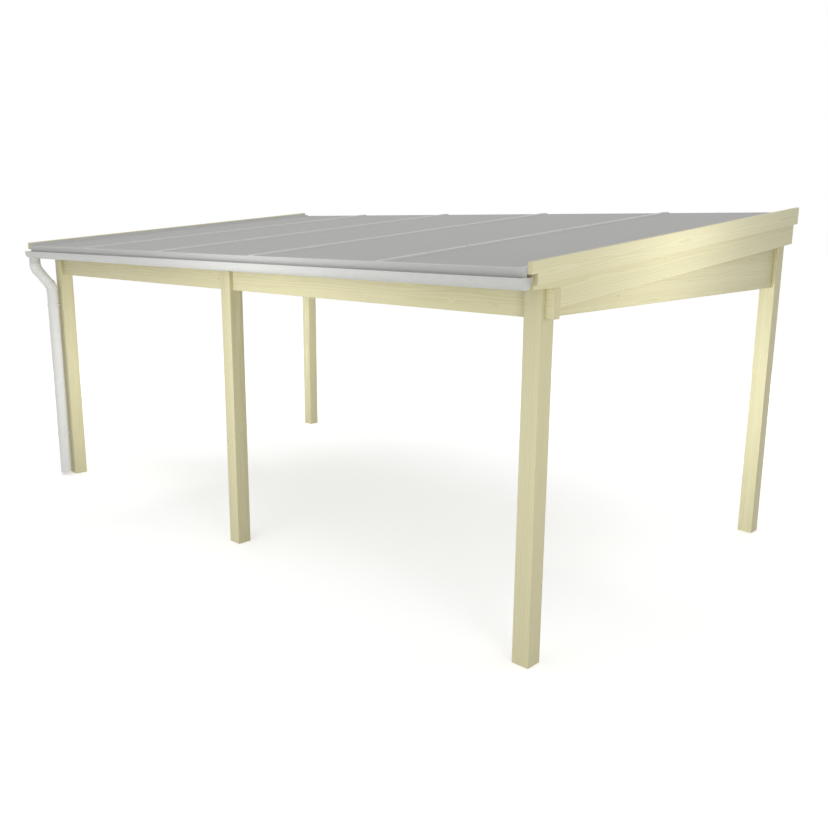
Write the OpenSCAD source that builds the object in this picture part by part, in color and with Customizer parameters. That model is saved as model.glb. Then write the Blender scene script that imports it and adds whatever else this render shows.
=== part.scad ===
// Timber veranda frame with a lean-to roof: slotted posts, beams, notched rafters, multiwall roof
// sheets on glazing bars, bargeboards, and a gutter with its downpipe. Millimetres, +Z up, +Y to the
// high back edge. The origin is on the ground, at the middle of the plan.

/* [Posts] */
// Width of the frame over the outer faces of the corner posts
frame_w = 5690; // [4600:10:6600]
// Depth of the frame over the outer faces of the corner posts
frame_d = 3250; // [2200:10:4200]
// Side of the square posts
post_side = 115; // [95:1:150]
// Clear height under the front and side beams
headroom = 2010; // [1800:10:2500]

/* [Beams] */
// Thickness of the beams
beam_t = 56; // [36:1:72]
// Height of the front and back beams
beam_h = 165; // [120:1:220]

/* [Rafters] */
// Pitch of the roof in degrees
roof_pitch = 5; // [3:0.5:8]
// Thickness of the rafters
rafter_t = 56; // [40:1:80]
// Depth of the rafters, square to the roof
rafter_h = 212; // [180:1:240]
// Height of the rafter tops over the front beam, at the front of the posts
rafter_rise = 99; // [85:1:130]
// Reach of the rafter tails in front of the posts
tail_reach = 165; // [120:1:260]

/* [Bargeboards] */
// Thickness of the bargeboards
barge_t = 28; // [18:1:40]
// Plumb height of the bargeboards
barge_h = 125; // [100:1:160]
// Height of the bargeboards over the rafter tops
barge_rise = 62; // [50:1:90]
// Reach of the bargeboard noses in front of the rafter tails
nose_reach = 53; // [30:1:70]

/* [Roof covering] */
// Spacing of the inner rafters and their glazing bars
bar_spacing = 1230; // [900:10:1400]
// Thickness of the roof sheets
sheet_t = 16; // [10:1:25]
// Reach of the sheets in front of the rafter tails
sheet_reach = 40; // [25:1:45]
// Room beside a sheet for its growth in the heat
sheet_room = 5; // [2:0.5:10]
// Width of the glazing bars
bar_w = 60; // [50:1:80]
// Height of a bar's base, under the sheets
bar_base = 9; // [6:0.5:14]
// Thickness of a bar's web, between two sheets
bar_web = 6; // [4:0.5:10]
// Height of a bar's cap, over the sheets
bar_cap = 11; // [7:0.5:16]
// Height of a cap's upright sides
cap_side = 4; // [2:0.5:6]
// Slope of the cap's shoulders, in plan
cap_shoulder = 8; // [4:0.5:12]
// Width of an edge bar's cap
edge_cap_w = 36; // [25:1:50]
// Drop from the bargeboards' tops to the upstands of the edge bars
upstand_drop = 8; // [0:1:15]
// Thickness of the plates that close the bars' ends
bar_end_t = 3; // [2:0.5:5]
// Wall of the sheet trims
trim_t = 2; // [1.5:0.5:4]
// Length of a sheet trim's legs
trim_leg = 26; // [15:1:40]
// Room between a sheet trim and the bars beside it
trim_room = 1; // [0.5:0.5:3]
// Thickness of the apron in front of the bars
apron_t = 2.5; // [1.5:0.5:4]
// Length of the apron's flange over the sheet trims
apron_leg = 22; // [12:1:26]
// Dip of the apron below the gutter's rim
apron_dip = 7; // [4:0.5:9]

/* [Gutter] */
// Width of the gutter
gutter_w = 102; // [90:1:102]
// Depth of the gutter
gutter_h = 65; // [65:1:90]
// Wall of the gutter and its caps
gutter_wall = 2.5; // [2:0.5:4]
// Drop from the rafter tops to the gutter's rim
gutter_drop = 21.5; // [15:0.5:35]
// Length of a gutter cap's skirt, inside the trough
cap_skirt = 12; // [8:1:20]
// Radius of the bead inside the gutter's front rim
bead_r = 4; // [3:0.5:4]
// Width of the gutter straps
strap_w = 25; // [15:1:40]
// Thickness of the gutter straps
strap_t = 3; // [2:0.5:3]

/* [Downpipe] */
// Outer radius of the downpipe
pipe_r = 50; // [40:1:50]
// Wall of the downpipe
pipe_wall = 2.5; // [2:0.5:4]
// Distance of the downpipe's axis from the left face of the frame
pipe_inset = 40; // [28:1:60]
// Gap between the downpipe and the post
pipe_gap = 20; // [12:1:50]
// Height of the downpipe's open end over the ground
pipe_foot = 25; // [10:1:120]
// Length of the outlet below the gutter
outlet_len = 70; // [30:1:90]
// Length of the sockets
socket_len = 20; // [15:1:22]
// Wall of the sockets, outside the pipe
socket_wall = 3; // [2:0.5:5]
// Lap of a socket back over its bend
socket_lap = 4; // [2:0.5:8]
// Angle of the swan neck from plumb, in degrees
neck_angle = 38; // [30:1:50]
// Radius of the swan neck's bends, along the axis
neck_bend = 60; // [56:1:75]
// Height of the lower pipe clip over the ground
clip_low = 420; // [200:10:800]
// Distance of the upper pipe clip below the swan neck
clip_top = 150; // [60:10:400]
// Height of the pipe clips
clip_h = 22; // [15:1:40]
// Wall of the pipe clips
clip_wall = 3; // [2:0.5:5]
// Width of a clip's foot on the post
clip_foot_w = 48; // [30:1:56]
// Width of a clip's stem
clip_stem_w = 16; // [8:1:24]

/* [Fits] */
// Clearance between round faces
round_gap = 0.3; // [0.2:0.1:0.6]
// Clearance between a gutter cap and the bargeboard
cap_gap = 8; // [2:0.5:12]
// Clearance between a gutter cap and the apron, and below the straps
apron_gap = 1; // [0.5:0.5:3]

/* [Hidden] */
$fn = 96;
// Overrun of a cut past the face that it opens
cut = 1;
// Overrun of a bend's bore past its ends, in degrees
bore_over = 1;
WOOD = "#E3DAB8";
SHEET = "#ACACAA";
METAL = "#B6B6B3";
GUTTER = "#C6C6C3";
PIPE = "#CDCDCA";

// Plan
half_w = frame_w / 2;
cheek = (post_side - beam_t) / 2;
front_beam_back = cheek + beam_t;
back_beam_front = frame_d - front_beam_back;
edge_x = half_w + rafter_t;
barge_x = edge_x + barge_t;

// Heights
front_seat = headroom + beam_h;
pitch_rise = tan(roof_pitch);
back_seat = front_seat + (back_beam_front - front_beam_back) * pitch_rise;
rafter_plumb = rafter_h / cos(roof_pitch);

// Roof line over the plan
function rafter_top(y) = front_seat + rafter_rise + y * pitch_rise;
function rafter_under(y) = rafter_top(y) - rafter_plumb;
function barge_top(y) = rafter_top(y) + barge_rise;

// Stations along the slope, from the post faces, and layers square to it
sheet_front = -(tail_reach + sheet_reach) / cos(roof_pitch);
sheet_back = frame_d / cos(roof_pitch) - bar_end_t;
sheet_under = bar_base;
sheet_over = bar_base + sheet_t;
bar_h = sheet_over + bar_cap;
edge_h = (barge_rise - upstand_drop) * cos(roof_pitch);
bar_front = sheet_front - bar_end_t;
bar_back = sheet_back + bar_end_t;
apron_over = sheet_over + trim_t + apron_t;

// Bars across the roof, from left to right, and the bays between their sides
bar_x = [for (step = [-1.5:1:1.5]) step * bar_spacing];
last_bar = len(bar_x) - 1;
bay_lefts = concat([trim_room - half_w], [for (x = bar_x) x + bar_w / 2 + trim_room]);
bay_rights = [for (bay = [0:last_bar + 1]) -bay_lefts[last_bar + 1 - bay]];

// Gutter and downpipe
gutter_r = gutter_w / 2;
gutter_y = -tail_reach - gutter_r;
gutter_rim = rafter_top(-tail_reach) - gutter_drop;
gutter_axis = gutter_rim - (gutter_h - gutter_r);
gutter_end = edge_x - cap_gap - gutter_wall;
trough_r = gutter_r - gutter_wall;
apron_under = (gutter_rim - apron_dip - rafter_top(-tail_reach - sheet_reach)) / cos(roof_pitch);
pipe_bore = pipe_r - pipe_wall;
socket_bore = pipe_r + round_gap;
socket_r = socket_bore + socket_wall;
pipe_x = pipe_inset - half_w;
pipe_y = -pipe_gap - pipe_r;
outlet_end = gutter_rim - gutter_h - outlet_len;
neck_offset = pipe_y - gutter_y;
neck_run = (neck_offset - 2 * neck_bend * (1 - cos(neck_angle))) / sin(neck_angle);
neck_drop = 2 * neck_bend * sin(neck_angle) + neck_run * cos(neck_angle);
pipe_top = outlet_end - neck_drop;
upper_clip_z = pipe_top - socket_len - clip_top;

// Middle of the plan, from the gutter or the upper socket, whichever reaches further, to the back
front_edge = gutter_y - max(gutter_r, socket_r);
plan_middle = (front_edge + frame_d) / 2;

// Moves the plan so that its middle is at the origin
module in_plan() {
    translate([0, -plan_middle, 0]) children();
}

// Stands a side-view outline (y, z) across the plan, from x over a thickness
module across(x, thickness) {
    translate([x, 0, 0]) rotate([90, 0, 90]) linear_extrude(thickness) children();
}

// Lays its children on the plane of the rafter tops: x, along the slope, square to it
module on_slope() {
    translate([0, 0, rafter_top(0)]) rotate([roof_pitch, 0, 0]) children();
}

// Runs a section (x, square to the slope) along the slope between two stations
module along_slope(from, to) {
    on_slope() translate([0, to, 0]) rotate([90, 0, 0]) linear_extrude(to - from) children();
}

// Post with a slot through its head along x, for the front or back beam
module slotted_post(height, slot_z) {
    difference() {
        cube([post_side, post_side, height]);
        translate([-cut, cheek, slot_z]) cube([post_side + 2 * cut, beam_t, height - slot_z + cut]);
        children();
    }
}

// Slot in one cheek of a corner post, for the end of a side beam
module side_slot(y, height) {
    translate([cheek, y, headroom]) cube([beam_t, cheek + cut, height - headroom + cut]);
}

// Front corner post: the side beam passes its back cheek
module post_front_corner(x) {
    color(WOOD) in_plan() translate([x, 0, 0])
        slotted_post(front_seat, headroom) side_slot(front_beam_back, front_seat);
}

// Front middle post: only the front beam passes it
module post_front_middle() {
    color(WOOD) in_plan() translate([-post_side / 2, 0, 0]) slotted_post(front_seat, headroom);
}

// Back corner post: the side beam is let into its front cheek, below the back beam too
module post_back_corner(x) {
    color(WOOD) in_plan() translate([x, frame_d - post_side, 0])
        slotted_post(back_seat, back_seat - beam_h) translate([0, -cut, 0]) side_slot(0, back_seat);
}

// Front beam, out under the edge rafters at both ends
module beam_front() {
    color(WOOD) in_plan() translate([-edge_x, cheek, headroom]) cube([2 * edge_x, beam_t, beam_h]);
}

// Back beam, flush with the outer faces of the back posts
module beam_back() {
    color(WOOD) in_plan() translate([-half_w, back_beam_front, back_seat - beam_h])
        cube([frame_w, beam_t, beam_h]);
}

// Side beam: level below, parallel to the roof above, between the front and back beams
module beam_side(x) {
    color(WOOD) in_plan() across(x, beam_t) polygon([
        [front_beam_back, headroom],
        [back_beam_front, headroom],
        [back_beam_front, back_seat],
        [front_beam_back, front_seat]
    ]);
}

// Rafter: tail with a level underside, heel behind the front beam, lower edge along the roof.
// An inner rafter is notched over the back beam too, and an edge rafter runs past it.
module rafter(x, over_back_beam) {
    tail_and_heel = [
        [-tail_reach, rafter_top(-tail_reach)],
        [-tail_reach, front_seat],
        [front_beam_back, front_seat],
        [front_beam_back, rafter_under(front_beam_back)]
    ];
    back_notch = [
        [back_beam_front, rafter_under(back_beam_front)],
        [back_beam_front, back_seat],
        [frame_d, back_seat]
    ];
    back_end = over_back_beam ? back_notch : [[frame_d, rafter_under(frame_d)]];
    color(WOOD) in_plan() across(x, rafter_t)
        polygon(concat(tail_and_heel, back_end, [[frame_d, rafter_top(frame_d)]]));
}

// Bargeboard, with a nose over the gutter that is cut off level with the rafter tops
module bargeboard(x) {
    nose = -tail_reach - nose_reach;
    color(WOOD) in_plan() across(x, barge_t) polygon([
        [nose, barge_top(nose)],
        [nose, rafter_top(nose)],
        [-tail_reach, rafter_top(-tail_reach)],
        [-tail_reach, barge_top(-tail_reach) - barge_h],
        [frame_d, barge_top(frame_d) - barge_h],
        [frame_d, barge_top(frame_d)]
    ]);
}

// Roof sheet between two edges across the roof
module roof_sheet(left, right) {
    color(SHEET) in_plan() on_slope() translate([left, sheet_front, sheet_under])
        cube([right - left, sheet_back - sheet_front, sheet_t]);
}

// Sheet that fills one of the bays between the glazing bars
module bay_sheet(bay) {
    side_room = bar_web / 2 + sheet_room;
    roof_sheet(bar_x[bay] + side_room, bar_x[bay + 1] - side_room);
}

// Sheet between the outermost glazing bar and the edge bar, on the right or, mirrored, on the left
module edge_sheet(side) {
    in_from_bar = bar_x[last_bar] + bar_web / 2 + sheet_room;
    out_to_edge = edge_x - bar_web - sheet_room;
    roof_sheet(side > 0 ? in_from_bar : -out_to_edge, side > 0 ? out_to_edge : -in_from_bar);
}

// Outline of a glazing bar's cap, with sloped shoulders
module cap_outline(width) {
    polygon([
        [-width / 2, sheet_over],
        [width / 2, sheet_over],
        [width / 2, sheet_over + cap_side],
        [width / 2 - cap_shoulder, bar_h],
        [cap_shoulder - width / 2, bar_h],
        [-width / 2, sheet_over + cap_side]
    ]);
}

// Glazing bar: base under the sheets, web between them, cap over them, and a plate at each end
module glazing_bar(index) {
    color(METAL) in_plan() translate([bar_x[index], 0, 0]) {
        along_slope(bar_front, bar_back) {
            translate([-bar_w / 2, 0]) square([bar_w, bar_base]);
            translate([-bar_web / 2, 0]) square([bar_web, sheet_over + cut]);
            cap_outline(bar_w);
        }
        for (station = [bar_front, sheet_back])
            along_slope(station, station + bar_end_t) {
                translate([-bar_w / 2, 0]) square([bar_w, sheet_over]);
                cap_outline(bar_w);
            }
    }
}

// Edge bar: a channel on the edge rafter that holds the sheet's outer edge, with an upstand against
// the inner face of the bargeboard
module edge_bar(side) {
    color(METAL) in_plan() mirror([side > 0 ? 0 : 1, 0, 0]) translate([edge_x, 0, 0]) {
        along_slope(bar_front, bar_back) {
            translate([-rafter_t, 0]) square([rafter_t, bar_base]);
            translate([-bar_web, 0]) square([bar_web, edge_h]);
            translate([-edge_cap_w, sheet_over]) square([edge_cap_w, bar_cap]);
        }
        for (station = [bar_front, sheet_back])
            along_slope(station, station + bar_end_t)
                translate([-rafter_t, 0]) square([rafter_t, bar_h]);
    }
}

// Trims that close the open ends of the sheets, one in each bay, between the bars
module sheet_trims(end, inward) {
    outer_face = end - inward * trim_t;
    leg_end = end + inward * trim_leg;
    color(METAL) in_plan() on_slope() for (bay = [0:last_bar + 1]) {
        bay_w = bay_rights[bay] - bay_lefts[bay];
        translate([bay_lefts[bay], 0, sheet_under]) difference() {
            translate([0, min(outer_face, leg_end), -trim_t])
                cube([bay_w, trim_t + trim_leg, sheet_t + 2 * trim_t]);
            translate([-cut, min(end, leg_end + inward * cut), 0])
                cube([bay_w + 2 * cut, trim_leg + cut, sheet_t]);
        }
    }
}

// Apron along the eaves: a face in front of the bars that dips into the gutter, and a flange over the
// sheet trim in each bay
module eaves_apron() {
    face_half = gutter_end - apron_gap;
    color(METAL) in_plan() on_slope() translate([0, bar_front - apron_t, 0]) {
        translate([-face_half, 0, apron_under]) cube([2 * face_half, apron_t, apron_over - apron_under]);
        for (bay = [0:last_bar + 1]) translate([bay_lefts[bay], 0, apron_over - apron_t])
            cube([bay_rights[bay] - bay_lefts[bay], apron_t + apron_leg, apron_t]);
    }
}

// Outline of the gutter in side view at a given radius: a half round below straight walls that end at an
// amount above the rim
module gutter_outline(radius, above) {
    wall_h = gutter_rim - gutter_axis + above;
    translate([gutter_y, gutter_axis]) {
        translate([-radius, 0]) square([2 * radius, wall_h]);
        intersection() {
            circle(r = radius);
            translate([-radius, -radius]) square([2 * radius, radius + wall_h]);
        }
    }
}

// Gutter with a bead inside its front rim and a hole over the outlet
module gutter() {
    color(GUTTER) in_plan() difference() {
        across(-gutter_end, 2 * gutter_end) {
            difference() {
                gutter_outline(gutter_r, 0);
                gutter_outline(trough_r, cut);
            }
            translate([gutter_y - gutter_r + bead_r, gutter_rim - bead_r - round_gap]) circle(r = bead_r);
        }
        translate([pipe_x, gutter_y, gutter_rim - gutter_h - cut])
            cylinder(r = pipe_bore, h = gutter_h - bead_r * 2);
    }
}

// Cap on one end of the gutter: a plate with a half-round skirt inside the trough
module gutter_cap(side) {
    skirt_r = trough_r - round_gap;
    color(GUTTER) in_plan() mirror([side > 0 ? 0 : 1, 0, 0]) {
        across(gutter_end, gutter_wall) gutter_outline(gutter_r, 0);
        across(gutter_end - cap_skirt, cap_skirt + gutter_wall) translate([gutter_y, gutter_axis])
            intersection() {
                difference() {
                    circle(r = skirt_r);
                    circle(r = skirt_r - gutter_wall);
                }
                translate([-skirt_r, -skirt_r]) square([2 * skirt_r, skirt_r]);
            }
    }
}

// Straps between the gutter's walls, below the apron and the bead, one at each rafter tail
module gutter_straps() {
    edge_rafter_x = half_w + rafter_t / 2;
    color(GUTTER) in_plan() for (x = concat([-edge_rafter_x], bar_x, [edge_rafter_x]))
        translate([x - strap_w / 2, gutter_y - trough_r, gutter_axis + apron_gap])
            cube([strap_w, 2 * trough_r, strap_t]);
}

// Outlet saddled under the gutter
module gutter_outlet() {
    color(GUTTER) in_plan() difference() {
        translate([pipe_x, gutter_y, outlet_end]) cylinder(r = pipe_r, h = gutter_axis - outlet_end);
        translate([pipe_x, gutter_y, outlet_end - cut])
            cylinder(r = pipe_bore, h = gutter_axis - outlet_end + 2 * cut);
        translate([pipe_x - gutter_w, gutter_y, gutter_axis]) rotate([0, 90, 0])
            cylinder(r = gutter_r + round_gap, h = 2 * gutter_w);
    }
}

// Bend of an elbow at a given radius, from its upper end down and back, longer by some degrees at both ends
module elbow_bend(radius, over) {
    translate([0, neck_bend, 0]) rotate([90, 0, 90]) rotate([0, 0, 180 - over])
        rotate_extrude(angle = neck_angle + 2 * over) translate([neck_bend, 0]) circle(r = radius);
}

// Places its children at the lower end of an elbow, pointing out of it
module at_elbow_end() {
    translate([0, neck_bend * (1 - cos(neck_angle)), -neck_bend * sin(neck_angle)])
        rotate([180 + neck_angle, 0, 0]) children();
}

// Elbow with a socket at each end; the pipes seat on the ends of the bend
module elbow() {
    module socket() translate([0, 0, -socket_lap]) cylinder(r = socket_r, h = socket_lap + socket_len);
    module socket_hollow() cylinder(r = socket_bore, h = socket_len + cut);
    difference() {
        union() {
            elbow_bend(pipe_r, 0);
            socket();
            at_elbow_end() socket();
        }
        elbow_bend(pipe_bore, bore_over);
        socket_hollow();
        at_elbow_end() socket_hollow();
    }
}

// Upper elbow of the swan neck, on the outlet
module elbow_upper() {
    color(PIPE) in_plan() translate([pipe_x, gutter_y, outlet_end]) elbow();
}

// Lower elbow of the swan neck, on the downpipe: the upper one turned over
module elbow_lower() {
    color(PIPE) in_plan() translate([pipe_x, pipe_y, pipe_top]) rotate([180, 0, 0]) elbow();
}

// Straight pipe between the two elbows
module offset_pipe() {
    color(PIPE) in_plan() translate([pipe_x, gutter_y, outlet_end]) at_elbow_end() difference() {
        cylinder(r = pipe_r, h = neck_run);
        translate([0, 0, -cut]) cylinder(r = pipe_bore, h = neck_run + 2 * cut);
    }
}

// Downpipe from the lower elbow to its open end over the ground
module downpipe() {
    color(PIPE) in_plan() translate([pipe_x, pipe_y, pipe_foot]) difference() {
        cylinder(r = pipe_r, h = pipe_top - pipe_foot);
        translate([0, 0, -cut]) cylinder(r = pipe_bore, h = pipe_top - pipe_foot + 2 * cut);
    }
}

// Clip that holds the downpipe to the post: a ring, a stem and a foot
module pipe_clip(z) {
    ring_r = socket_bore + clip_wall;
    color(PIPE) in_plan() translate([pipe_x, pipe_y, z]) difference() {
        union() {
            cylinder(r = ring_r, h = clip_h);
            translate([-clip_stem_w / 2, 0, 0]) cube([clip_stem_w, -pipe_y, clip_h]);
            translate([-clip_foot_w / 2, -pipe_y - clip_wall, 0]) cube([clip_foot_w, clip_wall, clip_h]);
        }
        translate([0, 0, -cut]) cylinder(r = socket_bore, h = clip_h + 2 * cut);
    }
}

post_front_corner(-half_w);  // post_front_left
post_front_middle();
post_front_corner(half_w - post_side);  // post_front_right
post_back_corner(-half_w);  // post_back_left
post_back_corner(half_w - post_side);  // post_back_right
beam_front();
beam_back();
beam_side(-half_w + cheek);  // beam_left
beam_side(half_w - cheek - beam_t);  // beam_right
rafter(-edge_x, false);  // rafter_edge_left
rafter(bar_x[0] - rafter_t / 2, true);  // rafter_outer_left
rafter(bar_x[1] - rafter_t / 2, true);  // rafter_inner_left
rafter(bar_x[2] - rafter_t / 2, true);  // rafter_inner_right
rafter(bar_x[3] - rafter_t / 2, true);  // rafter_outer_right
rafter(half_w, false);  // rafter_edge_right
bargeboard(-barge_x);  // bargeboard_left
bargeboard(edge_x);  // bargeboard_right
edge_sheet(-1);  // roof_sheet_far_left
bay_sheet(0);  // roof_sheet_left
bay_sheet(1);  // roof_sheet_middle
bay_sheet(2);  // roof_sheet_right
edge_sheet(1);  // roof_sheet_far_right
glazing_bar(0);  // glazing_bar_outer_left
glazing_bar(1);  // glazing_bar_inner_left
glazing_bar(2);  // glazing_bar_inner_right
glazing_bar(3);  // glazing_bar_outer_right
edge_bar(-1);  // edge_bar_left
edge_bar(1);  // edge_bar_right
sheet_trims(sheet_front, 1);  // sheet_trims_front
sheet_trims(sheet_back, -1);  // sheet_trims_back
eaves_apron();
gutter();
gutter_cap(-1);  // gutter_cap_left
gutter_cap(1);  // gutter_cap_right
gutter_straps();
gutter_outlet();
elbow_upper();
offset_pipe();
elbow_lower();
downpipe();
pipe_clip(clip_low);  // pipe_clip_lower
pipe_clip(upper_clip_z);  // pipe_clip_upper
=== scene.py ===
"""Timber veranda frame with a lean-to roof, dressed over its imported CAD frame.

The timbers are planed copies of the CAD solids with eased arrises, the metal and plastic pieces get smooth
faces and fine edges, and gaskets and screw heads are added. Lengths are in metres, and MM turns millimetres
to metres.
"""
import logging
from collections.abc import Callable, Iterable
from dataclasses import dataclass, field
from enum import Enum
from functools import cache
from math import pi, radians
from typing import Any, Protocol

import bpy
from mathutils import Euler, Matrix, Vector


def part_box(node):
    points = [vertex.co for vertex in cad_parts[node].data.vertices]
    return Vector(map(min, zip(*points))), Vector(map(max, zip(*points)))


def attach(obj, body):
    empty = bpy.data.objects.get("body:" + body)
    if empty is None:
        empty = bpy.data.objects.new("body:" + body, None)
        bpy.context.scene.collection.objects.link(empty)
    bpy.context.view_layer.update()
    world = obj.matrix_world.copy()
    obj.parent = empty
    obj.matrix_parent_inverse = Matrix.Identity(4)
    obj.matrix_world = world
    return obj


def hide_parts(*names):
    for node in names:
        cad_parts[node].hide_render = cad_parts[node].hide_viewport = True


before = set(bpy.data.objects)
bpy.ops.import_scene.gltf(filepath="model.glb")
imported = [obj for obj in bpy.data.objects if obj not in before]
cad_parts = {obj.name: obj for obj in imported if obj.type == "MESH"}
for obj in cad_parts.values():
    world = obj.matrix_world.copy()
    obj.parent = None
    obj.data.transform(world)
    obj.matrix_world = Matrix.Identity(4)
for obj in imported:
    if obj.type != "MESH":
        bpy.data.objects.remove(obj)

Piece = bpy.types.Object
Material = bpy.types.Material
Tree = bpy.types.NodeTree
Socket = bpy.types.NodeSocket

LOG = logging.getLogger("veranda")
MM = 0.001
BODY = "root"
SIDES = ("left", "right")
FRONT_POSTS = ("left", "middle", "right")
ROOF_PITCH_DEG = 5.0
# Attributes of a timber's points that the spruce reads
GRAIN_PLACE = "grain_place"
TIMBER_FACTS = "timber_facts"
# Lamella thickness beyond any timber's depth, which leaves a timber one board
BOARD = 1.0
# Distance at which loose corners of a solid are one, and the angle within which its triangles are one face
MERGE = 0.005 * MM
FLAT = radians(0.3)
# Angle past which an edge is eased, and the one up to which faces are shaded as one round face
SHARP = radians(30)
ROUND = radians(35)
# Least upward part of a top face's normal
TOP_FACE = 0.9
# Sockets of a Mix node that mixes colours, which share their names with others
SHARE, FIRST, SECOND, MIXED = 0, 6, 7, 2


class Slot(Enum):
    """Material slots, one for each kind of new piece."""

    TIMBER = "timber"
    BAR = "bar"
    GUTTER = "gutter"
    PIPE = "pipe"


class Run(Enum):
    """Turn, in degrees, that lays a timber's grain along x and stacks its lamellas along z."""

    ACROSS = (0.0, 0.0, 0.0)
    BACK = (0.0, 0.0, -90.0)
    UP_ROOF = (-ROOF_PITCH_DEG, 0.0, -90.0)
    UPRIGHT = (0.0, 90.0, 0.0)

    def matrix(self) -> Matrix:
        """Turns a point of the row frame so that x is along the grain."""
        return Euler([radians(angle) for angle in self.value]).to_matrix()


def linear(code: str) -> tuple[float, float, float, float]:
    """Turns an sRGB hex colour to linear values.

    Args:
        code: The colour, as #RRGGBB.

    Returns:
        Red, green, blue and an alpha of 1.
    """
    shares = [int(code[start:start + 2], 16) / 255 for start in (1, 3, 5)]
    red, green, blue = (s / 12.92 if s <= 0.04045 else ((s + 0.055) / 1.055) ** 2.4 for s in shares)
    return red, green, blue, 1.0


def add(
    tree: Tree, kind: str, inputs: dict[str | int, Any] | None = None, **settings: Any,
) -> bpy.types.Node:
    """Adds a node with its settings and links.

    Args:
        tree: The node tree.
        kind: The node's type.
        inputs: A value, or the socket that is linked, for each input by name or number.
        settings: Values of the node's own properties.

    Returns:
        The new node.
    """
    node = tree.nodes.new(kind)
    for name, value in settings.items():
        setattr(node, name, value)
    for key, value in (inputs or {}).items():
        if isinstance(value, Socket):
            tree.links.new(value, node.inputs[key])
        else:
            node.inputs[key].default_value = value
    return node


def blank_material(name: str) -> tuple[Material, Tree]:
    """Makes a material with an empty node tree.

    Args:
        name: The material's name.

    Returns:
        The material and its tree.
    """
    material = bpy.data.materials.new(name)
    material.use_nodes = True
    material.node_tree.nodes.clear()
    return material, material.node_tree


@dataclass(frozen=True)
class Skin:
    """Outer skin of a finish: its range of roughness, its relief, and how it reflects.

    Where the IOR or the specular level isn't given, the shader keeps its own.
    """

    roughness: tuple[float, float]
    relief_mm: float = 0.0
    relief_share: float = 0.0
    ior: float | None = None
    specular: float | None = None
    metallic: float = 0.0

    def lay(self, tree: Tree, colour: Socket, dull: Socket, height: Socket | None = None) -> None:
        """Adds the shader with its roughness and relief, and the tree's output.

        Args:
            tree: The node tree.
            colour: The finish's colour.
            dull: Pattern that the roughness follows, from 0 to 1.
            height: Pattern that the relief follows, if there is one.
        """
        low, high = self.roughness
        gloss = add(tree, "ShaderNodeMapRange", {"Value": dull, "To Min": low, "To Max": high}).outputs[0]
        inputs = {"Base Color": colour, "Roughness": gloss, "Metallic": self.metallic}
        if height:
            inputs["Normal"] = add(tree, "ShaderNodeBump", {
                "Strength": self.relief_share, "Distance": self.relief_mm * MM, "Height": height,
            }).outputs["Normal"]
        for socket, value in (("IOR", self.ior), ("Specular IOR Level", self.specular)):
            if value is not None:
                inputs[socket] = value
        shader = add(tree, "ShaderNodeBsdfPrincipled", inputs)
        add(tree, "ShaderNodeOutputMaterial", {"Surface": shader.outputs[0]})


@dataclass(frozen=True)
class LamellaSpot:
    """Sockets that say where a point lies in its lamella, and what that lamella draws."""

    along: Socket
    across: Socket
    up: Socket
    share_up: Socket
    thickness: Socket
    seed: Socket
    draws: tuple[Socket, ...]
    strewn: Socket


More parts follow.
